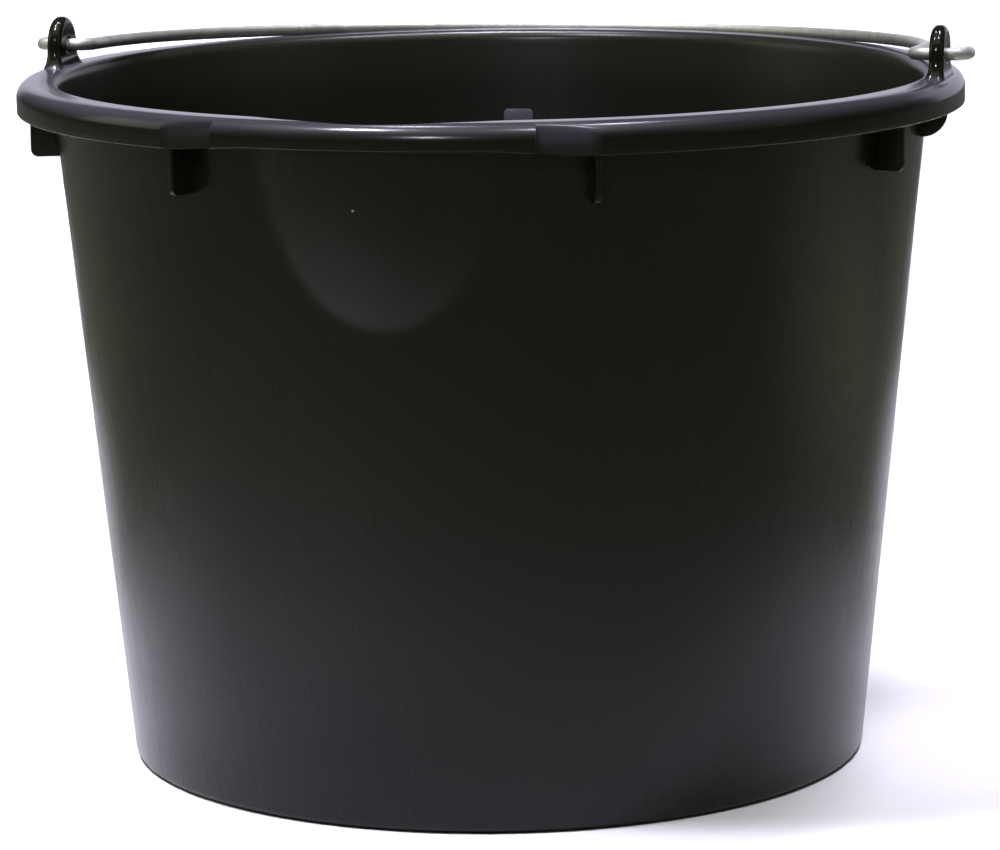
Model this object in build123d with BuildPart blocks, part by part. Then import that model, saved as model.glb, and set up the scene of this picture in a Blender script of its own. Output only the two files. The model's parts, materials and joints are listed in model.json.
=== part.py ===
from build123d import *
import os
from math import asin, atan, cos, degrees, hypot, pi, radians, sin, sqrt

# A builder's bucket: one moulded tub with a hollow rim, a pouring spout and two ears,
# and one bent wire, the bail, that swings in the ears.
# Millimetres. The origin is the middle of the base, on the surface that the bucket stands on, and +Z is up.
# The ears lie on the X axis, the spout faces -Y, and the bail is folded back on the rim, towards +Y.

# Tub
tub_height = 276.0  # standing surface to the crest of the rim
base_diameter = 298.6  # outside, at the standing surface
wall = 2.8
floor_thickness = 3.4
foot_height = 4.0  # ring that the bucket stands on
foot_width = 7.0
base_edge_radius = 3.5
inner_corner_radius = 9.0  # between the floor and the wall, inside
gate_diameter = 12.0  # moulding gate under the floor
gate_height = 1.2

# Rim
rim_diameter = 380.0
rim_overhang = 13.7  # outside of the wall, produced to the level of the crest, to the face of the rim
rim_drop = 12.5  # crest to the lower edge of the skirt
rim_wall = 2.5
rim_outer_radius = 6.5  # rounding between the crest and the skirt
rim_inner_radius = 4.5  # rounding between the crest and the inside of the wall

# Pouring spout, a tilted round scoop pressed out of the wall
spout_radius = 73.4
spout_depth = 79.5  # crest to the lowest point of the scoop
spout_lip = 2.0  # face of the rim to the outside of the scoop, at the crest
spout_edge_radius = 40.0  # valley between the scoop and the wall, outside
spout_rim_angle = 26.2  # half the stretch of rim with the shorter skirt, with a gusset at each end
spout_skirt_lift = 2.4

# Flats on the rim, one each side of the spout
flat_angle = 19.0  # spout middle to the step at the deep end
flat_depth = 3.2

# Gussets under the rim
gusset_thickness = 2.2
gusset_drop = 31.0  # crest to the gusset's lower edge
gusset_setback = 5.0  # face of the rim to the gusset's outer edge
gusset_corner_radius = 3.0
side_gusset_angle = 17.5  # from each ear, towards the spout
web_drop = 24.0  # crest to the lower edge of the web under each ear
web_corner_radius = 10.0

# Ears
ear_thickness = 6.0
ear_top_radius = 11.5
ear_edge_radius = 2.6
ear_land = 0.6  # flat that is left between the rounded edges, at the least
ear_flare_width = 4.5  # by which each side widens in a hollow curve down to the rim
hinge_height = 8.7  # crest to the bail's axis

# Bail
wire_diameter = 5.0
ear_hole_clearance = 0.6  # wire to the side of the hole
bail_arm_inset = 11.0  # middle of the ear to the middle of the arm inside it
bail_arm_length = 23.0  # hinge axis to the start of the half circle
bail_bend_radius = 6.0
hook_offset = 9.8  # middle of the ear to the middle of the hook outside it
hook_length = 13.0  # hinge axis to the cut end
wire_end_radius = 0.8
rest_clearance = 0.3  # folded wire to the rim

# Fill mark on the inside of the wall
mark_width = 13.0
mark_height = 8.0
mark_proud = 0.9
mark_corner_radius = 2.0
mark_drop = 41.0  # crest to the middle of the mark
mark_angle = 10.0  # from the back, away from the right ear

# Places worked out from the sizes
spout_direction = -90.0
back_direction = 90.0
base_radius = base_diameter / 2
rim_radius = rim_diameter / 2
mouth_radius = rim_radius - rim_overhang
taper = (mouth_radius - base_radius) / tub_height
wall_across = wall * sqrt(1 + taper**2)
floor_top = foot_height + floor_thickness
rim_underside = tub_height - rim_wall
rim_seat = rim_underside + rim_wall / 2  # buried in the top of the rim
skirt_inside = rim_radius - rim_wall
skirt_seat = rim_radius - rim_wall / 2  # buried in the skirt
seat_radius = rim_outer_radius - rim_wall / 2  # buried in the rounding between them
skirt_foot = tub_height - rim_drop
short_skirt_foot = skirt_foot + spout_skirt_lift
rim_corner = (skirt_seat, rim_seat)
wire_radius = wire_diameter / 2


def wall_outside(height):
    return base_radius + taper * height


def wall_inside(height):
    return wall_outside(height) - wall_across


def wall_middle(height):
    return wall_outside(height) - wall_across / 2


def radial_plane(angle):
    """Upright plane through the axis of the tub, with its x pointing out at this angle and its y up."""
    turn = radians(angle)
    return Plane(origin=(0, 0, 0), x_dir=(cos(turn), sin(turn), 0), z_dir=(sin(turn), -cos(turn), 0))


def around(radius, angle):
    return (radius * cos(radians(angle)), radius * sin(radians(angle)))


mouth_inside = wall_inside(tub_height)
ear_middle = (mouth_inside + rim_radius) / 2
ear_foot = ear_top_radius + ear_flare_width
ear_rounding = min(ear_edge_radius, (ear_thickness - ear_land) / 2)
hinge_z = tub_height + hinge_height

# Scoop of the spout: its outer side runs from the wall at the lowest point to the lip at the crest
scoop_foot = tub_height - spout_depth
scoop_reach = rim_radius - spout_lip
scoop_tilt = atan((scoop_reach - wall_outside(scoop_foot)) / spout_depth)
scoop_plane = Plane(
    origin=(0, spout_radius * cos(scoop_tilt) - scoop_reach, tub_height + spout_radius * sin(scoop_tilt)),
    x_dir=(1, 0, 0),
    z_dir=(0, -sin(scoop_tilt), cos(scoop_tilt)),
)
scoop_length = 2 * spout_depth

# Gussets stand at both ends of the spout's stretch of rim, alike at the back, and beside each ear
ear_angles = [0.0, 180.0]
gusset_angles = [
    middle + side * spout_rim_angle for middle in (spout_direction, back_direction) for side in (1, -1)
]
gusset_angles += [angle + side_gusset_angle * side for angle, side in zip(ear_angles, (-1, 1))]


def gusset_outline(drop):
    """Corners from the gusset's foot at the wall, out, up past the skirt's lower edge and back."""
    foot = tub_height - drop
    reach = rim_radius - gusset_setback
    step = short_skirt_foot + rim_wall
    return [
        (wall_middle(foot), foot),
        (reach, foot),
        (reach, step),
        (skirt_seat, step),
        rim_corner,
        (wall_middle(rim_seat), rim_seat),
    ]


def round_corner(sketch, corner, radius):
    """Rounds the corner of a sketch that lies nearest to this place."""
    fillet(sketch.vertices().sort_by_distance(corner)[0], radius)


# Bail at rest: it lies as low as the rim lets it, clear by the rest clearance
hook_x = ear_middle + hook_offset
arm_x = ear_middle - bail_arm_inset
bail_reach = arm_x + bail_arm_length  # hinge axis to the middle of the half circle
rest_samples = 91  # points of half the wire that are held clear of the rim


def wire_floor(radius):
    """Least height over the crest for the middle of the wire where it passes the rim at this radius."""
    inner_end = mouth_inside + rim_inner_radius
    outer_end = rim_radius - rim_outer_radius
    clear = wire_radius + rest_clearance
    rounding, beyond = 0.0, 0.0
    if radius < inner_end:
        rounding, beyond = rim_inner_radius, inner_end - radius
    if radius > outer_end:
        rounding, beyond = rim_outer_radius, radius - outer_end
    if beyond >= rounding + clear:
        return -tub_height
    return sqrt((rounding + clear) ** 2 - beyond**2) - rounding


def steepest_fold():
    """Angle, in degrees, by which the folded bail slopes down from its ears to the back."""
    slopes = []
    for step in range(rest_samples):
        turn = pi / 2 * step / (rest_samples - 1)
        across = arm_x * cos(turn)
        along = bail_arm_length + arm_x * sin(turn)
        slopes.append((hinge_height - wire_floor(hypot(across, along))) / along)
    return degrees(asin(min(slopes)))


fold_drop = steepest_fold()
bail_plane = Plane(
    origin=(0, 0, hinge_z),
    x_dir=(1, 0, 0),
    z_dir=(0, sin(radians(fold_drop)), cos(radians(fold_drop))),
)

# Fill mark: a plane in the middle of the wall, facing in and square to the inner face
mark_turn = radians(back_direction + mark_angle)
mark_z = tub_height - mark_drop
mark_tilt = atan(taper)
mark_plane = Plane(
    origin=(wall_middle(mark_z) * cos(mark_turn), wall_middle(mark_z) * sin(mark_turn), mark_z),
    x_dir=(-sin(mark_turn), cos(mark_turn), 0),
    z_dir=(-cos(mark_turn) * cos(mark_tilt), -sin(mark_turn) * cos(mark_tilt), sin(mark_tilt)),
)

# The skin of the scoop outside the inner face of the wall, under the top of the rim
with BuildPart() as scoop_skin:
    with BuildSketch(scoop_plane):
        Circle(spout_radius)
    extrude(amount=scoop_length, both=True)
    with BuildSketch(Plane.XZ) as scoop_limit:
        Polygon(
            (0, foot_height),
            (skirt_seat, foot_height),
            rim_corner,
            (0, rim_seat),
            align=None,
        )
        round_corner(scoop_limit, rim_corner, seat_radius)
    revolve(axis=Axis.Z, mode=Mode.INTERSECT)
    with BuildSketch(Plane.XZ):
        Polygon(
            (0, 0),
            (wall_middle(0), 0),
            (wall_middle(tub_height), tub_height),
            (0, tub_height),
            align=None,
        )
    revolve(axis=Axis.Z, mode=Mode.SUBTRACT)

# The room inside the scoop, from the cavity of the tub to over the rim
with BuildPart() as scoop_room:
    with BuildSketch(scoop_plane):
        Circle(spout_radius - wall)
    extrude(amount=scoop_length, both=True)
    with BuildSketch(Plane.XY.offset(scoop_foot / 2)):
        Circle(rim_radius)
    extrude(amount=tub_height, mode=Mode.INTERSECT)

# One ear, on the right: a tongue with a round top, concave sides and a hole for the wire
with BuildPart() as ear:
    with BuildSketch(Plane.YZ.offset(ear_middle - ear_thickness / 2)):
        with BuildLine():
            crown = CenterArc((0, hinge_z), ear_top_radius, 0, 180)
            flare_right = TangentArc(crown @ 0, (ear_foot, rim_seat), tangent=(0, -1))
            flare_left = TangentArc(crown @ 1, (-ear_foot, rim_seat), tangent=(0, -1))
            Line(flare_right @ 1, flare_left @ 1)
        make_face()
    extrude(amount=ear_thickness)
    upper_edges = ear.edges().filter_by(Axis.X, reverse=True).filter_by(
        lambda edge: edge.center().Z > tub_height
    )
    fillet(upper_edges, ear_rounding)
    with BuildSketch(Plane.YZ.offset(ear_middle)):
        with Locations((0, hinge_z)):
            Circle(wire_radius + ear_hole_clearance)
    extrude(amount=ear_thickness, both=True, mode=Mode.SUBTRACT)

# The moulded tub
with BuildPart() as bucket:
    with BuildSketch(Plane.XZ) as section:
        with BuildLine():
            Polyline(
                (0, foot_height),
                (base_radius - foot_width, foot_height),
                (base_radius - foot_width, 0),
                (base_radius, 0),
                (wall_outside(rim_underside), rim_underside),
                (skirt_inside, rim_underside),
                (skirt_inside, short_skirt_foot),
                (rim_radius, short_skirt_foot),
                (rim_radius, tub_height),
                (mouth_inside, tub_height),
                (wall_inside(floor_top), floor_top),
                (0, floor_top),
                close=True,
            )
        make_face()
        rounded_corners = [
            ((base_radius, 0), base_edge_radius),
            ((skirt_inside, rim_underside), rim_outer_radius - rim_wall),
            ((rim_radius, tub_height), rim_outer_radius),
            ((mouth_inside, tub_height), rim_inner_radius),
            ((wall_inside(floor_top), floor_top), inner_corner_radius),
        ]
        for corner, radius in rounded_corners:
            round_corner(section, corner, radius)
    revolve(axis=Axis.Z)

    # Scoop of the spout, with the outer one of its two long edges blended into the wall
    add(scoop_skin.part)
    add(scoop_room.part, mode=Mode.SUBTRACT)
    scoop_edges = bucket.edges().filter_by(GeomType.BSPLINE).sort_by(SortBy.LENGTH)[-2:]
    fillet(scoop_edges.sort_by(Axis.Y)[0], spout_edge_radius)

    # Skirt of the rim, everywhere but at the spout
    with BuildSketch(radial_plane(spout_direction + spout_rim_angle)):
        Polygon(
            (skirt_inside, skirt_foot),
            (rim_radius, skirt_foot),
            (rim_radius, short_skirt_foot),
            (skirt_inside, short_skirt_foot),
            align=None,
        )
    revolve(axis=Axis.Z, revolution_arc=360 - 2 * spout_rim_angle)

    # Solid stretches of rim behind the two flats
    for first_angle in (flat_angle, -spout_rim_angle):
        with BuildSketch(radial_plane(spout_direction + first_angle)) as solid_stretch:
            Polygon(
                (wall_middle(short_skirt_foot), short_skirt_foot),
                (skirt_seat, short_skirt_foot),
                rim_corner,
                (wall_middle(rim_seat), rim_seat),
                align=None,
            )
            round_corner(solid_stretch, rim_corner, seat_radius)
        revolve(axis=Axis.Z, revolution_arc=spout_rim_angle - flat_angle)

    # Flats, level with the rim at the outer end and deepest at the step beside the spout
    with BuildSketch(Plane.XY.offset(skirt_foot)):
        for side in (1, -1):
            Polygon(
                around(rim_radius, spout_direction + side * spout_rim_angle),
                around(rim_radius - flat_depth, spout_direction + side * flat_angle),
                around(rim_radius + flat_depth, spout_direction + side * flat_angle),
                around(rim_radius + flat_depth, spout_direction + side * spout_rim_angle),
                align=None,
            )
    extrude(amount=2 * rim_drop, mode=Mode.SUBTRACT)

    # Gussets between the wall and the rim
    with BuildSketch(*[radial_plane(angle) for angle in gusset_angles]) as gussets:
        Polygon(*gusset_outline(gusset_drop), align=None)
        round_corner(gussets, gusset_outline(gusset_drop)[1], gusset_corner_radius)
        round_corner(gussets, rim_corner, seat_radius)
    extrude(amount=gusset_thickness / 2, both=True)
    with BuildSketch(*[radial_plane(angle) for angle in ear_angles]) as webs:
        Polygon(*gusset_outline(web_drop), align=None)
        round_corner(webs, gusset_outline(web_drop)[1], web_corner_radius)
        round_corner(webs, rim_corner, seat_radius)
    extrude(amount=gusset_thickness / 2, both=True)

    # Ears
    add(ear.part)
    add(mirror(ear.part, about=Plane.YZ, mode=Mode.PRIVATE))

    # Moulding gate under the floor
    with BuildSketch(Plane.XY.offset(foot_height - gate_height)):
        Circle(gate_diameter / 2)
    extrude(amount=gate_height)

    # Fill mark
    with BuildSketch(mark_plane):
        RectangleRounded(mark_width, mark_height, mark_corner_radius)
    extrude(amount=mark_proud + wall / 2)

bucket.part.label = "bucket"

# The bail, one bent wire, folded back on the rim
with BuildPart() as bail:
    with BuildLine(bail_plane) as bail_line:
        right_arm = FilletPolyline(
            (hook_x, hook_length),
            (hook_x, 0),
            (arm_x, 0),
            (arm_x, bail_arm_length),
            radius=bail_bend_radius,
        )
        left_arm = FilletPolyline(
            (-hook_x, hook_length),
            (-hook_x, 0),
            (-arm_x, 0),
            (-arm_x, bail_arm_length),
            radius=bail_bend_radius,
        )
        ThreePointArc((arm_x, bail_arm_length), (0, bail_reach), (-arm_x, bail_arm_length))
    with BuildSketch(Plane(origin=right_arm @ 0, z_dir=right_arm % 0)):
        Circle(wire_radius)
    sweep(path=bail_line.wire())
    fillet(bail.faces().filter_by(GeomType.PLANE).edges(), wire_end_radius)

bail.part.label = "bail"

os.makedirs("parts", exist_ok=True)
export_step(bucket.part, "parts/bucket.step")
export_step(bail.part, "parts/bail.step")
print("bail folds through", round(180 + 2 * fold_drop, 2), "degrees; rest slope", round(fold_drop, 3))
print("hinge height above the base", hinge_z)
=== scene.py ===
import json
from math import acos, asin, atan, atan2, ceil, cos, hypot, pi, radians, sin, sqrt

import bmesh
import bpy
from mathutils import Matrix, Vector


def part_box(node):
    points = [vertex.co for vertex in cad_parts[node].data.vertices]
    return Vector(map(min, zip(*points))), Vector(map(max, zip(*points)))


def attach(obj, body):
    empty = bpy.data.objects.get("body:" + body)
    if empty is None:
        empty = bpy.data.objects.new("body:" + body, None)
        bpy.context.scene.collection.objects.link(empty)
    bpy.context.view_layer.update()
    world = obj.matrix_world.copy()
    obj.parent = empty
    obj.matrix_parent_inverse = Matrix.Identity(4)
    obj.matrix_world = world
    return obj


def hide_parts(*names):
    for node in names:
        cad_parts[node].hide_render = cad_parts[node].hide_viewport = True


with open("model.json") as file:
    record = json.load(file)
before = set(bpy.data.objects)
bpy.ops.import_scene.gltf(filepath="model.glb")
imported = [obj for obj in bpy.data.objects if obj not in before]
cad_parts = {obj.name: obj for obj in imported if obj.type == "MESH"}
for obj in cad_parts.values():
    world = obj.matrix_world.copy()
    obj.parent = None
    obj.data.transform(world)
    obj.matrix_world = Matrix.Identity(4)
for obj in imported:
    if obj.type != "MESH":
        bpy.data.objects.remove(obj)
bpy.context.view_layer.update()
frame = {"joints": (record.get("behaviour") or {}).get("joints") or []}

# A black builder's bucket with a wire bail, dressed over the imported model.
# Metres, in the model's own frame.
# Angles about the tub are counted from the spout, which faces -Y, towards the right ear, on +X.
MM = 0.001

# What the frame gives
hinge_z = frame["joints"][0]["pos_m"][2]
bucket_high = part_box("bucket")[1]
bail_low, bail_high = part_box("bail")
rim_radius = bucket_high.x
ear_top = bucket_high.z

# Tub
tub_height = 276.0 * MM
base_radius = 149.3 * MM
rim_overhang = 13.7 * MM
wall = 2.8 * MM
floor_thickness = 3.4 * MM
foot_height = 4.0 * MM
foot_width = 7.0 * MM
base_edge_radius = 3.5 * MM
inner_corner_radius = 9.0 * MM
gate_radius = 6.0 * MM
gate_height = 1.2 * MM

# Rim
rim_drop = 12.5 * MM
rim_wall = 2.5 * MM
rim_outer_radius = 6.5 * MM
rim_inner_radius = 4.5 * MM
lip_inner_radius = 1.5 * MM
skirt_edge_radius = 0.6 * MM

# Spout
spout_radius = 73.4 * MM
spout_depth = 79.5 * MM
spout_lip = 2.0 * MM
scoop_swell = 2.4 * MM
valley_radius = 16.0 * MM
brow_radius = 30.0 * MM
spout_rim_angle = radians(26.2)
spout_skirt_lift = 2.4 * MM
skirt_rise_angle = radians(14.0)
flat_angle = radians(19.0)
flat_depth = 3.2 * MM
flat_edge_radius = 2.4 * MM

# Gussets and webs
gusset_thickness = 2.2 * MM
gusset_drop = 31.0 * MM
gusset_setback = 5.0 * MM
gusset_corner_radius = 3.0 * MM
side_gusset_angle = radians(17.5)
web_drop = 24.0 * MM
web_corner_radius = 10.0 * MM
plate_edge_radius = 0.5 * MM

# Ears
ear_thickness = 6.0 * MM
ear_top_radius = ear_top - hinge_z
ear_edge_radius = 2.6 * MM
ear_flare_width = 4.5 * MM
ear_root_flare_outside = 0.8 * MM
ear_root_flare_inside = 1.6 * MM
ear_root_height = 5.0 * MM
ear_hole_radius = 3.1 * MM
ear_hole_edge = 0.7 * MM

# Bail
wire_radius = 2.5 * MM
bail_arm_inset = 11.0 * MM
bail_arm_length = 23.0 * MM
bail_bend_radius = 6.0 * MM
hook_length = 13.0 * MM
wire_end_radius = 0.8 * MM

# Fill mark inside the wall
mark_width = 13.0 * MM
mark_height = 8.0 * MM
mark_proud = 0.9 * MM
mark_corner_radius = 2.0 * MM
mark_edge_radius = 0.4 * MM
mark_drop = 38.5 * MM
mark_angle = radians(-170.0)

# Mesh
slope_step = 0.5 * MM
steepest_slope = 0.6
least_blend = 0.01 * MM
least_rise = 0.001 * MM
fine_zone = radians(36.0)
fine_angle = radians(0.4)
coarse_angle = radians(1.2)
step_half_angle = radians(0.02)
weld_distance = 0.002 * MM
sliver_distance = 0.001 * MM
sharp_angle = radians(28.0)
wire_sides = 32
bow_points = 181
bend_points = 13

# Places worked out from the sizes
quarter = pi / 2
mouth_radius = rim_radius - rim_overhang
taper = (mouth_radius - base_radius) / tub_height
lean = atan(taper)
wall_across = wall / cos(lean)
floor_top = foot_height + floor_thickness
rim_underside = tub_height - rim_wall
rim_seat = rim_underside + rim_wall / 2
skirt_inside = rim_radius - rim_wall
skirt_seat = rim_radius - rim_wall / 2
skirt_foot = tub_height - rim_drop
short_skirt_foot = skirt_foot + spout_skirt_lift
rim_rounding = (rim_radius - rim_outer_radius, tub_height - rim_outer_radius)
scoop_foot = tub_height - spout_depth
scoop_reach = rim_radius - spout_lip


def wall_outside(height):
    return base_radius + taper * height


def wall_inside(height):
    return wall_outside(height) - wall_across


def wall_middle(height):
    return wall_outside(height) - wall_across / 2


mouth_inside = wall_inside(tub_height)
ear_middle = (mouth_inside + rim_radius) / 2
ear_foot = ear_top_radius + ear_flare_width
arm_x = ear_middle - bail_arm_inset
bail_reach = arm_x + bail_arm_length
hook_x = bail_high.x - wire_radius
fold_drop = asin((hinge_z - bail_low.z - wire_radius) / bail_reach)
scoop_tilt = atan((scoop_reach - wall_outside(scoop_foot)) / spout_depth)
scoop_y = spout_radius * cos(scoop_tilt) - scoop_reach
scoop_z = tub_height + spout_radius * sin(scoop_tilt)


def spread(start, end, count):
    """Evenly spaced values from start to end, both included."""
    return [start + (end - start) * index / (count - 1) for index in range(count)]


def clamp(value, low, high):
    return max(low, min(high, value))


def around(radius, angle, height):
    """A point of the tub at this radius, angle from the spout and height."""
    return Vector((radius * sin(angle), -radius * cos(angle), height))


# Walls of the tub

def scoop_face(angle, height, radius):
    """Distance from the tub's axis to a scoop of this radius; 0 where its round doesn't reach."""
    share = (height - scoop_foot) / spout_depth
    offset = (height - scoop_z) * sin(scoop_tilt) - scoop_y * cos(scoop_tilt)
    offset += 4 * scoop_swell * share * (1 - share)
    square = sin(angle) ** 2 + (cos(angle) * cos(scoop_tilt)) ** 2
    half = offset * cos(angle) * cos(scoop_tilt)
    root = half**2 - square * (offset**2 - radius**2)
    if root < 0 or half < 0:
        return 0.0
    return (half + sqrt(root)) / square


def wall_face(angle, height, cone, radius, blend_radius):
    """Distance from the axis to a face of the wall; the scoop runs out of the cone in a rounded valley."""
    step = slope_step
    plain = cone(height)
    scoop = scoop_face(angle, height, radius)
    if scoop <= 0:
        return plain
    along = (scoop_face(angle, height + step, radius) - cone(height + step) - scoop + plain) / step
    turned = scoop_face(angle + step / plain, height, radius)
    across = (turned - scoop) / step
    slope = min(hypot(along, across), steepest_slope)
    width = max(blend_radius * slope**2 / 2, least_blend)
    near = max(width - abs(scoop - plain), 0.0) / width
    return max(scoop, plain) + near**2 * width / 4


def outer_face(angle, height):
    return wall_face(angle, height, wall_outside, spout_radius, valley_radius)


def inner_face(angle, height):
    return wall_face(angle, height, wall_inside, spout_radius - wall, brow_radius)


def has_flat(angle):
    """Whether the rim has a flat here; it is solid behind its flats."""
    return flat_angle <= abs(angle) <= spout_rim_angle


def skirt_edge(angle):
    """Height of the rim's lower edge, which rises gently over the spout."""
    rise = clamp((spout_rim_angle - abs(angle)) / skirt_rise_angle, 0.0, 1.0)
    return skirt_foot + spout_skirt_lift * rise**2 * (3 - 2 * rise)


def flat_face(angle, radius):
    """Distance from the axis to the flat beside the spout, rounded where it leaves this radius."""
    turn = abs(angle)
    shallow = Vector((rim_radius * sin(spout_rim_angle), rim_radius * cos(spout_rim_angle)))
    deep_radius = rim_radius - flat_depth
    run = Vector((deep_radius * sin(flat_angle), deep_radius * cos(flat_angle))) - shallow
    flat = (shallow.x * run.y - shallow.y * run.x) / (sin(turn) * run.y - cos(turn) * run.x)
    width = max(min(flat_edge_radius, rim_radius - flat), least_blend)
    near = max(width - abs(radius - flat), 0.0) / width
    return min(radius, flat) - near**2 * width / 4


def crest(radius):
    """Height of the top of the rim at this radius."""
    beyond = radius - (rim_radius - rim_outer_radius)
    if beyond <= 0:
        return tub_height
    return tub_height - rim_outer_radius + sqrt(max(rim_outer_radius**2 - beyond**2, 0.0))


def arc(centre, radius, start, end, count):
    """Points of an arc in the plane of a section, from one angle to another."""
    return [(centre[0] + radius * cos(a), centre[1] + radius * sin(a)) for a in spread(start, end, count)]


def inside_rows(angle):
    """Points of the section from the floor up the inside of the wall to the top of the rim."""
    corner_z = floor_top + inner_corner_radius
    corner = (wall_inside(corner_z) - inner_corner_radius / cos(lean), corner_z)
    rows = [(corner[0] * share, floor_top) for share in (0.15, 0.35, 0.55, 0.75, 0.9)]
    rows += arc(corner, inner_corner_radius, -quarter, -lean, 8)
    top = inner_face(angle, tub_height)
    narrowing = (top - mouth_inside) / (scoop_reach - wall - mouth_inside)
    rounding = rim_inner_radius + (lip_inner_radius - rim_inner_radius) * clamp(narrowing, 0.0, 1.0)
    brow_z = crest(top + rounding) - rounding
    local_lean = atan((inner_face(angle, brow_z) - inner_face(angle, brow_z - MM)) / MM)
    brow = (inner_face(angle, brow_z) + rounding / cos(local_lean), brow_z)
    scoop_start = scoop_foot - valley_radius / 3
    rows += [(inner_face(angle, z), z) for z in spread(rows[-1][1], scoop_start, 14)[1:]]
    rows += [(inner_face(angle, z), z) for z in spread(scoop_start, brow_z, 46)[1:-1]]
    rows += arc(brow, rounding, pi - local_lean, quarter, 9)
    return rows


def rim_rows(angle, start):
    """Points of the section over the rim, down its face, round its lower edge and up into its hollow."""
    foot = skirt_edge(angle)
    middle = rim_radius - rim_outer_radius
    first = max(start[0], middle)
    face = [(start[0] + (first - start[0]) * share, crest(start[0])) for share in (0.33, 0.67)]
    turn = acos(clamp((first - middle) / rim_outer_radius, -1.0, 1.0))
    face += arc((middle, tub_height - rim_outer_radius), rim_outer_radius, turn, 0, 14)
    edge = skirt_edge_radius
    face += [(rim_radius, z) for z in spread(face[-1][1], foot + edge, 4)[1:-1]]
    face += arc((rim_radius - edge, foot + edge), edge, 0, -quarter, 5)
    hollow = arc((skirt_inside + edge, foot + edge), edge, -quarter, -pi, 5)
    hollow_radius = rim_outer_radius - rim_wall
    hollow_centre = (skirt_inside - hollow_radius, rim_underside - hollow_radius)
    hollow += arc(hollow_centre, hollow_radius, 0, quarter, 6)
    junction = min(outer_face(angle, rim_underside), skirt_inside - edge)
    hollow += [(r, rim_underside) for r in spread(hollow[-1][0], junction, 4)[1:-1]]
    if has_flat(angle):
        face = [(flat_face(angle, r), z) for r, z in face]
        hollow = [(flat_face(angle, r), foot) for r, z in hollow]
    return face + hollow


def outside_rows(angle):
    """Points of the section down the outside of the wall, round the foot and in under the floor."""
    edge_z = base_edge_radius
    edge = (wall_outside(edge_z) - base_edge_radius / cos(lean), edge_z)
    scoop_start = scoop_foot - valley_radius / 3
    heights = spread(rim_underside, scoop_start, 50)
    heights += spread(scoop_start, edge_z * (1 - sin(lean)), 16)[1:-1]
    rows = []
    for z in heights:
        limit = skirt_inside - skirt_edge_radius if z > skirt_foot else rim_radius
        height = min(z, skirt_edge(angle)) if has_flat(angle) else z
        rows.append((min(outer_face(angle, height), limit), height))
    rows += arc(edge, base_edge_radius, -lean, -quarter, 8)
    foot_inside = base_radius - foot_width
    bevel = skirt_edge_radius
    rows += [(foot_inside + bevel, 0.0), (foot_inside, bevel)]
    rows += [(foot_inside, foot_height - bevel), (foot_inside - bevel, foot_height)]
    rows += [(foot_inside * share, foot_height) for share in (0.75, 0.5, 0.25)]
    rows += [(gate_radius + bevel, foot_height), (gate_radius, foot_height - bevel)]
    gate_foot = foot_height - gate_height
    rows += [(gate_radius, gate_foot + bevel), (gate_radius - bevel, gate_foot)]
    return rows


def section(angle):
    """The whole section of the tub at this angle, from the middle of the floor round to below it."""
    rows = inside_rows(angle)
    rows += rim_rows(angle, rows[-1])
    return rows + outside_rows(angle)


def column_angles():
    """Angles of the sections: close together about the spout, with a pair at each step in the rim."""
    steps = [side * a for side in (1, -1) for a in (flat_angle, spout_rim_angle)]
    angles = spread(-fine_zone, fine_zone, ceil(2 * fine_zone / fine_angle) + 1)
    angles = [a for a in angles if min(abs(a - s) for s in steps) > fine_angle / 4]
    angles += [s + side * step_half_angle for s in steps for side in (1, -1)]
    plain = 2 * pi - 2 * fine_zone
    angles += spread(fine_zone, fine_zone + plain, ceil(plain / coarse_angle) + 1)[1:-1]
    return sorted(angles)


def weld(mesh_edit):
    """Close up doubled points and faces that have shrunk to nothing, and turn all faces outwards."""
    bmesh.ops.remove_doubles(mesh_edit, verts=mesh_edit.verts, dist=weld_distance)
    bmesh.ops.dissolve_degenerate(mesh_edit, edges=mesh_edit.edges, dist=sliver_distance)
    bmesh.ops.recalc_face_normals(mesh_edit, faces=mesh_edit.faces)


def new_object(name, mesh_edit):
    mesh = bpy.data.meshes.new(name)
    mesh_edit.to_mesh(mesh)
    mesh_edit.free()
    piece = bpy.data.objects.new(name, mesh)
    bpy.context.scene.collection.objects.link(piece)
    return piece


def skin(mesh_edit, rings, closed_ends=True):
    """Faces between neighbouring closed rings of points, and a fan over each end."""
    loops = [[mesh_edit.verts.new(p) for p in ring] for ring in rings]
    for ring, following in zip(loops, loops[1:]):
        for index in range(len(ring)):
            after = (index + 1) % len(ring)
            mesh_edit.faces.new((ring[index], ring[after], following[after], following[index]))
    if closed_ends:
        mesh_edit.faces.new(loops[0])
        mesh_edit.faces.new(loops[-1])
    return loops


def make_tub():
    """The wall, floor, rim and spout, as sections round the axis."""
    angles = column_angles()
    columns = [section(a) for a in angles]
    rings = []
    for row in range(len(columns[0])):
        rings.append([around(column[row][0], a, column[row][1]) for a, column in zip(angles, columns)])
    tub = bmesh.new()
    loops = skin(tub, rings, closed_ends=False)
    for loop, height in ((loops[0], floor_top), (loops[-1], foot_height - gate_height)):
        middle = tub.verts.new((0, 0, height))
        for index in range(len(loop)):
            tub.faces.new((loop[index], loop[(index + 1) % len(loop)], middle))
    weld(tub)
    return new_object("bucket_moulding", tub)


# Pieces of the same moulding that stand on the tub

def ear_flare_radius():
    """Radius of the curve in which the ear's sides spread towards the foot."""
    drop = hinge_z - rim_seat
    return (ear_flare_width**2 + drop**2) / (2 * ear_flare_width)


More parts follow.
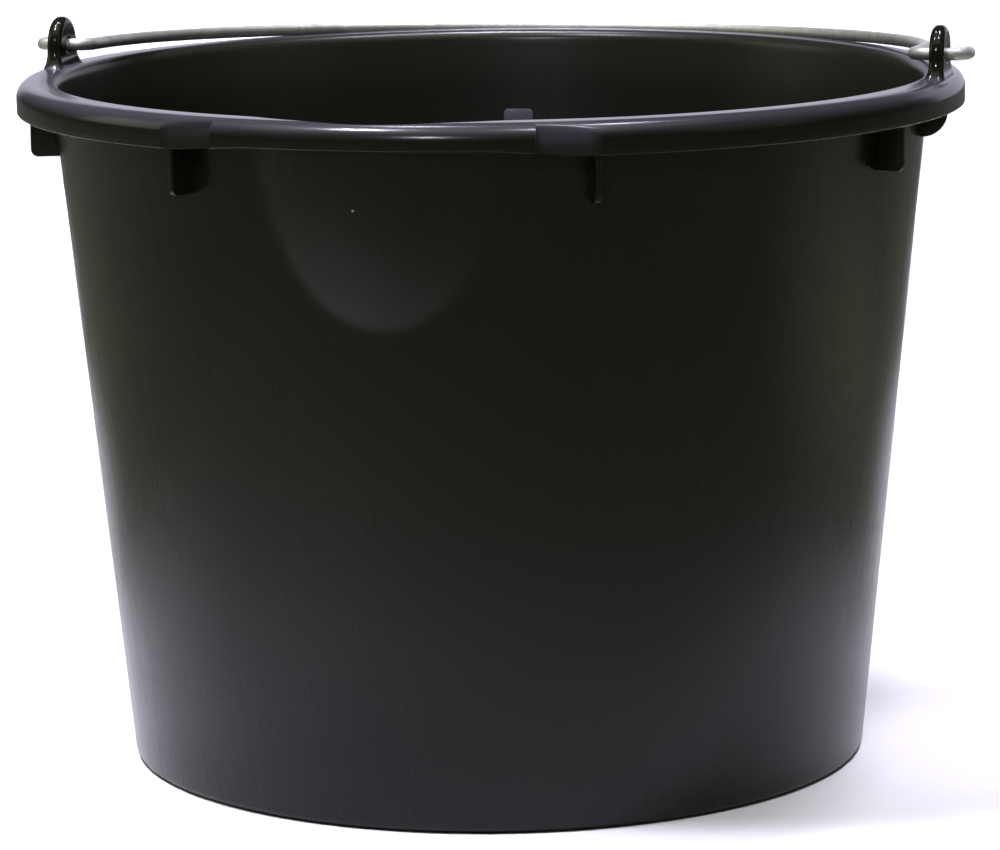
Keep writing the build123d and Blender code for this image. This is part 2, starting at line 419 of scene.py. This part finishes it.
def ear_inset(point, outward, depth):
    """A point of the ear's outline moved in by this depth and kept above the foot, where the sides end."""
    drop = hinge_z - rim_seat
    flare_radius = ear_flare_radius()
    foot_end = ear_top_radius + flare_radius - sqrt((flare_radius + depth) ** 2 - drop**2)
    flat = point - outward * depth
    if flat.y > -drop + least_rise:
        return flat
    if outward.length > 0:
        return Vector((foot_end if point.x > 0 else -foot_end, -drop))
    return Vector((clamp(flat.x, -foot_end, foot_end), -drop))


def ear_outline():
    """Points and outward directions of the ear's side view, about the hinge, from foot to foot."""
    drop = hinge_z - rim_seat
    flare_radius = ear_flare_radius()
    flare_turn = 2 * atan2(ear_flare_width, drop)
    centre = Vector((ear_top_radius + flare_radius, 0))
    flare = [(centre + flare_radius * Vector((-cos(a), -sin(a))), Vector((cos(a), sin(a))))
             for a in spread(flare_turn, 0, 13)]
    rays = [Vector((cos(a), sin(a))) for a in spread(0, pi, 49)]
    crown = [(ear_top_radius * ray, ray.copy()) for ray in rays]
    mirrored = [(Vector((-p.x, p.y)), Vector((-n.x, n.y))) for p, n in reversed(flare)]
    foot = [(Vector((x, -drop)), Vector((0, 0))) for x in spread(-ear_foot, ear_foot, 15)[1:-1]]
    return flare + crown[1:-1] + mirrored + foot


def ear_half_thickness(height, face):
    """Half the ear's thickness on its outer or inner face, which swells towards the rim."""
    rise = clamp((height - tub_height) / ear_root_height, 0.0, 1.0)
    flare = ear_root_flare_outside if face > 0 else ear_root_flare_inside
    return ear_thickness / 2 + flare * (1 - rise) ** 2


def make_ear(side):
    """A tongue with a round top, rounded edges and a hole for the wire."""
    outline = ear_outline()

    def placed(flat, reach):
        return Vector((side * (ear_middle + reach), flat.x, hinge_z + flat.y))

    def hole_ring(turn, face):
        radius = ear_hole_radius + ear_hole_edge * (1 - cos(turn))
        reach = ear_thickness / 2 - ear_hole_edge * (1 - sin(turn))
        return [placed(p.normalized() * radius, face * reach) for p, n in outline]

    def edge_ring(turn, face):
        ring = []
        for p, n in outline:
            flat = ear_inset(p, n, ear_edge_radius * (1 - cos(turn)))
            half = ear_half_thickness(hinge_z + flat.y, face)
            ring.append(placed(flat, face * (half - ear_edge_radius * (1 - sin(turn)))))
        return ring

    def face_ring(share, face):
        ring = []
        for p, n in outline:
            start = p.normalized() * (ear_hole_radius + ear_hole_edge)
            flat = start.lerp(ear_inset(p, n, ear_edge_radius), share)
            ring.append(placed(flat, face * ear_half_thickness(hinge_z + flat.y, face)))
        return ring

    front = [hole_ring(turn, 1) for turn in spread(0, quarter, 4)]
    front += [face_ring(share, 1) for share in spread(0, 1, 10)[1:-1]]
    front += [edge_ring(turn, 1) for turn in spread(quarter, 0, 8)]
    back = [edge_ring(turn, -1) for turn in spread(0, quarter, 8)]
    back += [face_ring(share, -1) for share in spread(1, 0, 10)[1:-1]]
    back += [hole_ring(turn, -1) for turn in spread(quarter, 0, 4)]
    ear = bmesh.new()
    loops = skin(ear, front + back, closed_ends=False)
    for index in range(len(outline)):
        after = (index + 1) % len(outline)
        ear.faces.new((loops[-1][index], loops[-1][after], loops[0][after], loops[0][index]))
    weld(ear)
    return new_object("ear", ear)


def make_plate(angle, drop, corner_radius):
    """A gusset or web: a thin upright plate between the wall and the rim."""
    foot = tub_height - drop
    reach = rim_radius - gusset_setback
    step = short_skirt_foot + rim_wall
    outline = [(wall_middle(foot), foot)]
    outline += arc((reach - corner_radius, foot + corner_radius), corner_radius, -quarter, 0, 9)
    outline += [(reach, step), (skirt_seat, step)]
    outline += arc(rim_rounding, rim_outer_radius - rim_wall / 2, 0, quarter, 7)
    outline += [(wall_middle(rim_seat), rim_seat)]
    sideways = Vector((cos(angle), sin(angle), 0)) * gusset_thickness / 2
    plate = bmesh.new()
    skin(plate, [[around(r, angle, z) + sideways * side for r, z in outline] for side in (-1, 1)])
    weld(plate)
    rounded = []
    for edge in plate.edges:
        run = edge.verts[0].co - edge.verts[1].co
        if abs(run.dot(sideways)) < sideways.length_squared / 2:
            rounded.append(edge)
    bmesh.ops.bevel(plate, geom=rounded, offset=plate_edge_radius, segments=3, profile=0.5, affect="EDGES")
    weld(plate)
    return new_object("plate", plate)


def make_mark():
    """The raised fill mark on the inside of the wall, at the back."""
    height = tub_height - mark_drop
    outward = around(1, mark_angle, 0)
    across = Vector((0, 0, 1)).cross(outward)
    up = Vector((outward.x * taper, outward.y * taper, 1)).normalized()
    inward = across.cross(up)
    inward *= -1 if inward.dot(outward) > 0 else 1
    root = around(wall_middle(height), mark_angle, height)

    def ring(inset, lift):
        radius = mark_corner_radius - inset
        points = []
        for number, (x, y) in enumerate(((1, 1), (-1, 1), (-1, -1), (1, -1))):
            corner = (x * (mark_width / 2 - mark_corner_radius), y * (mark_height / 2 - mark_corner_radius))
            points += arc(corner, radius, number * quarter, (number + 1) * quarter, 7)
        return [root + across * u + up * v + inward * lift for u, v in points]

    face = wall / 2 + mark_proud
    rings = [ring(0, 0)]
    for turn in spread(0, quarter, 5):
        rings.append(ring(mark_edge_radius * (1 - cos(turn)), face - mark_edge_radius * (1 - sin(turn))))
    mark = bmesh.new()
    skin(mark, rings)
    weld(mark)
    return new_object("mark", mark)


def join_moulding():
    """One closed mesh of the tub and all that is moulded on it."""
    tub = make_tub()
    right, left, back = quarter, -quarter, pi
    additions = [make_ear(1), make_ear(-1), make_mark()]
    for angle in (spout_rim_angle, -spout_rim_angle, back - spout_rim_angle, back + spout_rim_angle,
                  right - side_gusset_angle, left + side_gusset_angle):
        additions.append(make_plate(angle, gusset_drop, gusset_corner_radius))
    for angle in (right, left):
        additions.append(make_plate(angle, web_drop, web_corner_radius))
    group = bpy.data.collections.new("additions")
    for piece in additions:
        bpy.context.scene.collection.objects.unlink(piece)
        group.objects.link(piece)
    union = tub.modifiers.new("union", "BOOLEAN")
    union.operation = "UNION"
    union.operand_type = "COLLECTION"
    union.collection = group
    union.solver = "EXACT"
    bpy.context.view_layer.update()
    depsgraph = bpy.context.evaluated_depsgraph_get()
    joined = bpy.data.meshes.new_from_object(tub.evaluated_get(depsgraph))
    tub.modifiers.clear()
    cleaned = bmesh.new()
    cleaned.from_mesh(joined)
    bmesh.ops.dissolve_degenerate(cleaned, edges=cleaned.edges, dist=sliver_distance)
    cleaned.to_mesh(joined)
    cleaned.free()
    tub.data = joined
    for piece in additions:
        bpy.data.objects.remove(piece)
    bpy.data.collections.remove(group)
    shade(tub)
    return tub


def shade(piece):
    """Smooth shading that stops at real edges."""
    piece.data.shade_smooth()
    piece.data.set_sharp_from_angle(angle=sharp_angle)


# Bail

def bail_path():
    """Points and directions along the bent wire, in its own plane, from the right hook to the left."""
    bend = bail_bend_radius

    def bent(centre, start):
        return [(Vector(centre) + bend * Vector((cos(a), sin(a))), Vector((sin(a), -cos(a))))
                for a in spread(start, start - quarter, bend_points)]

    right = [(Vector((hook_x, hook_length)), Vector((0, -1)))]
    right += bent((hook_x - bend, bend), 0)
    right += bent((arm_x + bend, bend), -quarter)
    bow = [(Vector((arm_x * cos(a), bail_arm_length + arm_x * sin(a))), Vector((-sin(a), cos(a))))
           for a in spread(0, pi, bow_points)]
    left = [(Vector((-p.x, p.y)), Vector((t.x, -t.y))) for p, t in reversed(right)]
    return right + bow + left


def make_bail():
    """One bent wire, from hook to hook."""
    along = Vector((0, cos(fold_drop), -sin(fold_drop)))
    upright = Vector((0, sin(fold_drop), cos(fold_drop)))

    def ring(point, direction, radius):
        centre = Vector((point.x, 0, hinge_z)) + along * point.y
        across = Vector((-direction.y, 0, 0)) + along * direction.x
        turns = [2 * pi * number / wire_sides for number in range(wire_sides)]
        return [centre + radius * (across * cos(a) + upright * sin(a)) for a in turns]

    path = bail_path()
    rings = []
    for (point, direction), end in ((path[0], 1), (path[-1], -1)):
        cap = []
        for turn in spread(0, quarter, 5):
            shift = wire_end_radius * (1 - cos(turn))
            radius = wire_radius - wire_end_radius * (1 - sin(turn))
            cap.append(ring(point + direction * end * shift, direction, radius))
        if end == 1:
            rings = cap + [ring(p, d, wire_radius) for p, d in path[1:-1]]
        else:
            rings += reversed(cap)
    wire = bmesh.new()
    skin(wire, rings)
    weld(wire)
    piece = new_object("bail_wire", wire)
    shade(piece)
    return piece


# Materials

wall_black = (0.0070, 0.0076, 0.0040)
foot_black = (0.0052, 0.0050, 0.0064)
mottle_black = (0.0080, 0.0084, 0.0060)
# Inside colour, lighter than the outside: painted light for the light falling into the tub
inside_painted_light = (0.0110, 0.0118, 0.0080)
inside_top_black = (0.0190, 0.0200, 0.0140)
inside_top_band = (28 * MM, 8 * MM)
# Rim top colour: dust together with painted top light
rim_dust_and_top_light = (0.036, 0.034, 0.041)
# Painted sheen on the rim's flats
flat_painted_sheen = (0.046, 0.044, 0.053)
# Painted highlight on the fill mark
mark_painted_highlight = (0.095, 0.086, 0.110)
speck_colour = (0.42, 0.42, 0.40)
speck_share = 0.28
wall_roughness = 0.28
streak_roughness = 0.06
mottle_roughness = 0.10
rim_gloss = 0.07
ear_gloss = 0.10
plastic_specular = 0.25
zinc_dark = (0.42, 0.42, 0.38)
zinc_light = (0.52, 0.52, 0.47)
tarnish_colour = (0.26, 0.26, 0.25)
wire_metallic = 0.85
wire_roughness = 0.42
floor_dark = (0.83, 0.83, 0.83)
floor_light = (0.86, 0.86, 0.86)


def add_node(tree, kind, inputs=None, **settings):
    """A shader node with its settings, and its inputs as plain values or as links from other nodes."""
    node = tree.nodes.new(kind)
    for name, value in settings.items():
        setattr(node, name, value)
    for name, value in (inputs or {}).items():
        if isinstance(value, bpy.types.NodeSocket):
            tree.links.new(value, node.inputs[name])
        else:
            node.inputs[name].default_value = value
    return node


def math(tree, operation, first, second=0.0):
    return add_node(tree, "ShaderNodeMath", {0: first, 1: second}, operation=operation).outputs[0]


def ramp(tree, value, low, high, start=0.0, end=1.0):
    """A smooth step of the value between two limits."""
    inputs = {"Value": value, "From Min": low, "From Max": high, "To Min": start, "To Max": end}
    return add_node(tree, "ShaderNodeMapRange", inputs, interpolation_type="SMOOTHSTEP").outputs[0]


def noise(tree, position, scale, stretch=(1, 1, 1), detail=3.0):
    mapped = add_node(tree, "ShaderNodeMapping", {"Vector": position, "Scale": stretch}).outputs[0]
    texture = add_node(tree, "ShaderNodeTexNoise", {"Vector": mapped, "Scale": scale, "Detail": detail})
    return texture.outputs["Fac"]


def blend_colour(tree, share, first, second):
    node = add_node(tree, "ShaderNodeMix", {"Factor": share}, data_type="RGBA")
    for socket, value in ((node.inputs[6], first), (node.inputs[7], second)):
        if isinstance(value, bpy.types.NodeSocket):
            tree.links.new(value, socket)
        else:
            socket.default_value = (*value, 1)
    return node.outputs[2]


def new_material(name):
    material = bpy.data.materials.new(name)
    material.use_nodes = True
    tree = material.node_tree
    surface = tree.nodes["Principled BSDF"]
    position = add_node(tree, "ShaderNodeTexCoord").outputs["Object"]
    return material, tree, surface, position


def plastic_material():
    """Black polyethylene: satin, glossier on the ears, with draw lines and specks; dust with painted top
    light on the rim's upper faces, a painted sheen on the rim's flats, a painted highlight on the fill mark
    and painted light inside the tub.
    """
    material, tree, surface, position = new_material("black_polyethylene")
    place = add_node(tree, "ShaderNodeSeparateXYZ", {"Vector": position})
    x, y, z = place.outputs
    normal = add_node(tree, "ShaderNodeNewGeometry").outputs["Normal"]
    facing_up = add_node(tree, "ShaderNodeSeparateXYZ", {"Vector": normal}).outputs[2]
    radius_square = math(tree, "ADD", math(tree, "MULTIPLY", x, x), math(tree, "MULTIPLY", y, y))
    radius = math(tree, "SQRT", radius_square)
    angle = math(tree, "ABSOLUTE", math(tree, "ARCTAN2", x, math(tree, "MULTIPLY", y, -1.0)))
    on_rim = math(tree, "MULTIPLY", ramp(tree, z, skirt_foot - 2 * MM, skirt_foot),
                  ramp(tree, radius, mouth_inside + MM, mouth_inside + 3 * MM))
    on_ear = ramp(tree, z, tub_height, tub_height + 2 * MM)
    wall_place = math(tree, "SUBTRACT", radius, math(tree, "MULTIPLY", z, taper))
    inside = ramp(tree, wall_place, base_radius - 0.4 * wall_across, base_radius - 0.6 * wall_across)
    at_flat = math(tree, "MULTIPLY", ramp(tree, angle, flat_angle - 0.004, flat_angle + 0.002),
                   ramp(tree, angle, spout_rim_angle + 0.01, spout_rim_angle - 0.03))
    on_flat = math(tree, "MULTIPLY", math(tree, "MULTIPLY", at_flat, on_rim),
                   ramp(tree, radius, rim_radius - 6 * MM, rim_radius - 5 * MM))
    mottle = noise(tree, position, 9.0)
    streaks = noise(tree, position, 160.0, (1, 1, 0.03), 4.0)
    grain = noise(tree, position, 2400.0, detail=2.0)
    low = ramp(tree, z, 150 * MM, 20 * MM)

    colour = blend_colour(tree, low, wall_black, foot_black)
    colour = blend_colour(tree, ramp(tree, mottle, 0.35, 0.75, 0.0, 0.35), colour, mottle_black)
    # Painted light: the inside is coloured lighter than the outside to stand in for the light falling into
    # the tub. It is lighter still in a band towards the top of the inside wall.
    toward_inside_top = ramp(tree, z, tub_height - inside_top_band[0], tub_height - inside_top_band[1])
    inner = blend_colour(tree, toward_inside_top, inside_painted_light, inside_top_black)
    colour = blend_colour(tree, inside, colour, inner)
    # The rim's upward faces are lighter: dust together with painted top light for the light falling on them
    # from above.
    open_rim = math(tree, "SUBTRACT", on_rim, on_ear)
    upward_dust_and_light = math(tree, "MULTIPLY", ramp(tree, facing_up, 0.0, 0.9), open_rim)
    colour = blend_colour(tree, upward_dust_and_light, colour, rim_dust_and_top_light)
    # The rim's flats get a painted sheen, lighter towards the top and on the right-hand flat, standing in
    # for the light they catch.
    flat_sheen_share = ramp(tree, z, skirt_foot + 2 * MM, tub_height - 3 * MM, 0.15, 1.0)
    flat_sheen_share = math(tree, "MULTIPLY", flat_sheen_share, ramp(tree, x, -20 * MM, 20 * MM, 0.45, 1.0))
    colour = blend_colour(tree, math(tree, "MULTIPLY", on_flat, flat_sheen_share), colour, flat_painted_sheen)
    # The raised fill mark gets a painted highlight: a lighter colour standing in for light catching its
    # raised face.
    mark_place = around(wall_inside(tub_height - mark_drop), mark_angle, tub_height - mark_drop)
    apart = add_node(tree, "ShaderNodeVectorMath", {0: position, 1: mark_place}, operation="DISTANCE")
    near_mark = ramp(tree, apart.outputs["Value"], mark_width, 0.9 * mark_width)
    inner_place = base_radius - wall_across
    raised = ramp(tree, wall_place, inner_place - 0.3 * MM, inner_place - 0.6 * MM)
    colour = blend_colour(tree, math(tree, "MULTIPLY", raised, near_mark), colour, mark_painted_highlight)
    specks = add_node(tree, "ShaderNodeTexVoronoi", {"Vector": position, "Scale": 26.0, "Randomness": 1.0})
    lot = add_node(tree, "ShaderNodeSeparateColor", {"Color": specks.outputs["Color"]}).outputs[0]
    drawn = math(tree, "GREATER_THAN", lot, 1 - speck_share)
    dust = math(tree, "MULTIPLY", ramp(tree, specks.outputs["Distance"], 0.016, 0.010), drawn)
    colour = blend_colour(tree, dust, colour, speck_colour)
    tree.links.new(colour, surface.inputs["Base Color"])

    streak_part = math(tree, "MULTIPLY", math(tree, "SUBTRACT", streaks, 0.5), streak_roughness)
    mottle_part = math(tree, "MULTIPLY", math(tree, "SUBTRACT", mottle, 0.5), mottle_roughness)
    rough = math(tree, "ADD", wall_roughness, math(tree, "ADD", streak_part, mottle_part))
    rough = math(tree, "SUBTRACT", rough, math(tree, "MULTIPLY", on_rim, rim_gloss))
    rough = math(tree, "SUBTRACT", rough, math(tree, "MULTIPLY", on_ear, ear_gloss))
    tree.links.new(rough, surface.inputs["Roughness"])
    surface.inputs["Specular IOR Level"].default_value = plastic_specular

    waves = noise(tree, position, 26.0, (1, 1, 0.35), 2.0)
    relief = math(tree, "ADD", math(tree, "MULTIPLY", streaks, 0.10), math(tree, "MULTIPLY", waves, 1.6))
    relief = math(tree, "ADD", relief, math(tree, "MULTIPLY", grain, 0.06))
    bump = add_node(tree, "ShaderNodeBump", {"Height": relief, "Strength": 0.30, "Distance": 0.25 * MM})
    tree.links.new(bump.outputs[0], surface.inputs["Normal"])
    return material


def wire_material():
    """Dull galvanised steel: grey zinc with a faint spangle, die lines and darker tarnish."""
    material, tree, surface, position = new_material("galvanised_wire")
    cells = add_node(tree, "ShaderNodeTexVoronoi", {"Vector": position, "Scale": 420.0, "Randomness": 1.0})
    spangle = add_node(tree, "ShaderNodeSeparateColor", {"Color": cells.outputs["Color"]}).outputs[0]
    tarnish = noise(tree, position, 70.0, detail=5.0)
    grain = noise(tree, position, 1500.0)
    colour = blend_colour(tree, spangle, zinc_dark, zinc_light)
    colour = blend_colour(tree, ramp(tree, tarnish, 0.52, 0.75, 0.0, 0.6), colour, tarnish_colour)
    tree.links.new(colour, surface.inputs["Base Color"])
    surface.inputs["Metallic"].default_value = wire_metallic
    rough = math(tree, "ADD", wire_roughness, math(tree, "MULTIPLY", tarnish, 0.22))
    tree.links.new(rough, surface.inputs["Roughness"])
    relief = math(tree, "ADD", math(tree, "MULTIPLY", grain, 0.4), tarnish)
    bump = add_node(tree, "ShaderNodeBump", {"Height": relief, "Strength": 0.15, "Distance": 0.1 * MM})
    tree.links.new(bump.outputs[0], surface.inputs["Normal"])
    return material


def floor_material():
    material, tree, surface, position = new_material("pale_floor")
    cloud = noise(tree, position, 3.0)
    colour = blend_colour(tree, cloud, floor_dark, floor_light)
    tree.links.new(colour, surface.inputs["Base Color"])
    surface.inputs["Roughness"].default_value = 0.9
    surface.inputs["Specular IOR Level"].default_value = 0.1
    return material


# Studio

camera_azimuth = radians(14.1)
camera_distance = 1.779
camera_height = 0.458
camera_pitch = radians(10.416)
camera_yaw = radians(0.062)
camera_roll = radians(-0.759)
camera_lens = 159.52
sensor_width = 36.0
floor_radius = 14.0
hood_softness = 0.20
room_colour = (1.0, 1.0, 0.90, 1)
room_strength = 0.04
cool_light = (0.97, 0.93, 1.14)
warm_light = (1.03, 1.04, 0.76)
# Each spot of the lane: distance behind the bucket, height, radius of its patch, watts
lane_spots = (
    (0.56, 2.2, 0.47, 245.0),
    (1.3, 2.2, 0.58, 250.0),
    (2.0, 2.4, 0.70, 300.0),
    (2.9, 2.6, 0.82, 350.0),
    (3.9, 3.2, 1.0, 520.0),
)


def make_floor():
    floor = bmesh.new()
    bmesh.ops.create_circle(floor, cap_ends=True, segments=96, radius=floor_radius)
    piece = new_object("studio_floor", floor)
    piece.data.materials.append(floor_material())


def place_lamp(name, light, place, target, watts, colour):
    light.energy = watts
    light.color = colour
    lamp = bpy.data.objects.new(name, light)
    lamp.location = place
    lamp.rotation_euler = (Vector(target) - Vector(place)).to_track_quat("-Z", "Y").to_euler()
    bpy.context.scene.collection.objects.link(lamp)


def make_soft_box(name, place, target, size, watts, colour=cool_light):
    """A soft box at a place, turned to its target."""
    light = bpy.data.lights.new(name, "AREA")
    light.shape = "RECTANGLE"
    light.size, light.size_y = size
    place_lamp(name, light, place, target, watts, colour)


def make_spot(name, place, target, patch_radius, watts, colour=cool_light, lamp_radius=0.10):
    """A small lamp with a hood, so that it lights a round patch of this radius about its target."""
    light = bpy.data.lights.new(name, "SPOT")
    light.spot_size = 2 * atan(patch_radius / (Vector(place) - Vector(target)).length)
    light.spot_blend = hood_softness
    light.shadow_soft_size = lamp_radius
    place_lamp(name, light, place, target, watts, colour)


def make_studio():
    """A dim room with a pale floor, lit in a patch about the bucket and in a lane behind it."""
    make_floor()
    world = bpy.data.worlds.new("studio")
    world.use_nodes = True
    background = world.node_tree.nodes["Background"]
    background.inputs["Color"].default_value = room_colour
    background.inputs["Strength"].default_value = room_strength
    bpy.context.scene.world = world
    middle = Vector((0, 0, 0))
    make_spot("front_left_pool", (-0.60, -0.70, 2.2), (-0.16, -0.12, 0), 0.35, 110.0)
    make_spot("front_right_pool", (0.50, -0.60, 2.2), (0.08, -0.08, 0), 0.32, 62.0)
    for side in (-1, 1):
        make_spot("back_pool", (side * 0.40, 0.45, 2.3), middle, 0.36, 47.0)
    make_spot("left_patch", (-0.50, -0.12, 1.5), (-0.23, -0.07, 0), 0.165, 76.0)
    make_spot("spout_patch", (-0.45, -0.60, 1.5), (-0.15, -0.28, 0), 0.11, 45.0)
    make_spot("right_patch", (0.45, 0.20, 1.5), (0.24, 0.05, 0), 0.16, 60.0)
    make_spot("right_far", (0.83, 0.29, 1.8), (0.83, 0.29, 0), 0.32, 66.0, warm_light)
    behind = Matrix.Rotation(camera_azimuth, 3, "Z") @ Vector((0, 1, 0))
    for distance, height, radius, watts in lane_spots:
        target = behind * distance
        make_spot("lane", target + Vector((0, 0, height)), target, radius, watts)
    make_soft_box("sky", (0, -0.7, 2.3), middle, (3.2, 2.0), 18.0, warm_light)
    make_soft_box("window", (-2.2, -0.3, 1.1), (0, 0, 0.25), (1.2, 1.2), 6.0, warm_light)
    make_soft_box("right_window", (2.2, -0.5, 0.9), (0, 0, 0.25), (1.2, 1.2), 1.2, warm_light)
    make_spot("lamp_above", (-0.42, -0.49, 1.68), (0, -0.02, 0.25), 0.25, 44.0, lamp_radius=0.06)
    make_spot("lamp_front", (-0.03, -1.77, 1.05), (0, 0, 0.25), 0.24, 30.0, lamp_radius=0.045)
    make_soft_box("sweep", (0, 6.0, 1.5), (0, 0, 1.2), (8.0, 3.0), 70.0)
    bpy.context.scene.view_settings.view_transform = "Standard"


def make_camera():
    """The camera at the photograph's place: its azimuth from the spout, height, tilt and roll."""
    pitch, yaw, roll = camera_pitch, camera_yaw, camera_roll
    data = bpy.data.cameras.new("photo_camera")
    data.sensor_width = sensor_width
    data.lens = camera_lens
    turn = Matrix.Rotation(camera_azimuth, 3, "Z")
    forward = turn @ Vector((sin(yaw) * cos(pitch), cos(yaw) * cos(pitch), -sin(pitch)))
    level = forward.cross(Vector((0, 0, 1))).normalized()
    upward = level.cross(forward)
    right = level * cos(roll) + upward * sin(roll)
    above = upward * cos(roll) - level * sin(roll)
    camera = bpy.data.objects.new("photo_camera", data)
    camera.matrix_world = Matrix((right, above, -forward)).transposed().to_4x4()
    camera.location = turn @ Vector((0, -camera_distance, camera_height))
    bpy.context.scene.collection.objects.link(camera)
    bpy.context.scene.camera = camera


make_camera()
make_studio()

moulding = join_moulding()
moulding.data.materials.clear()
moulding.data.materials.append(plastic_material())
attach(moulding, "tub")
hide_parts("bucket")

bail = make_bail()
bail.data.materials.append(wire_material())
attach(bail, "bail")
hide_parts("bail")
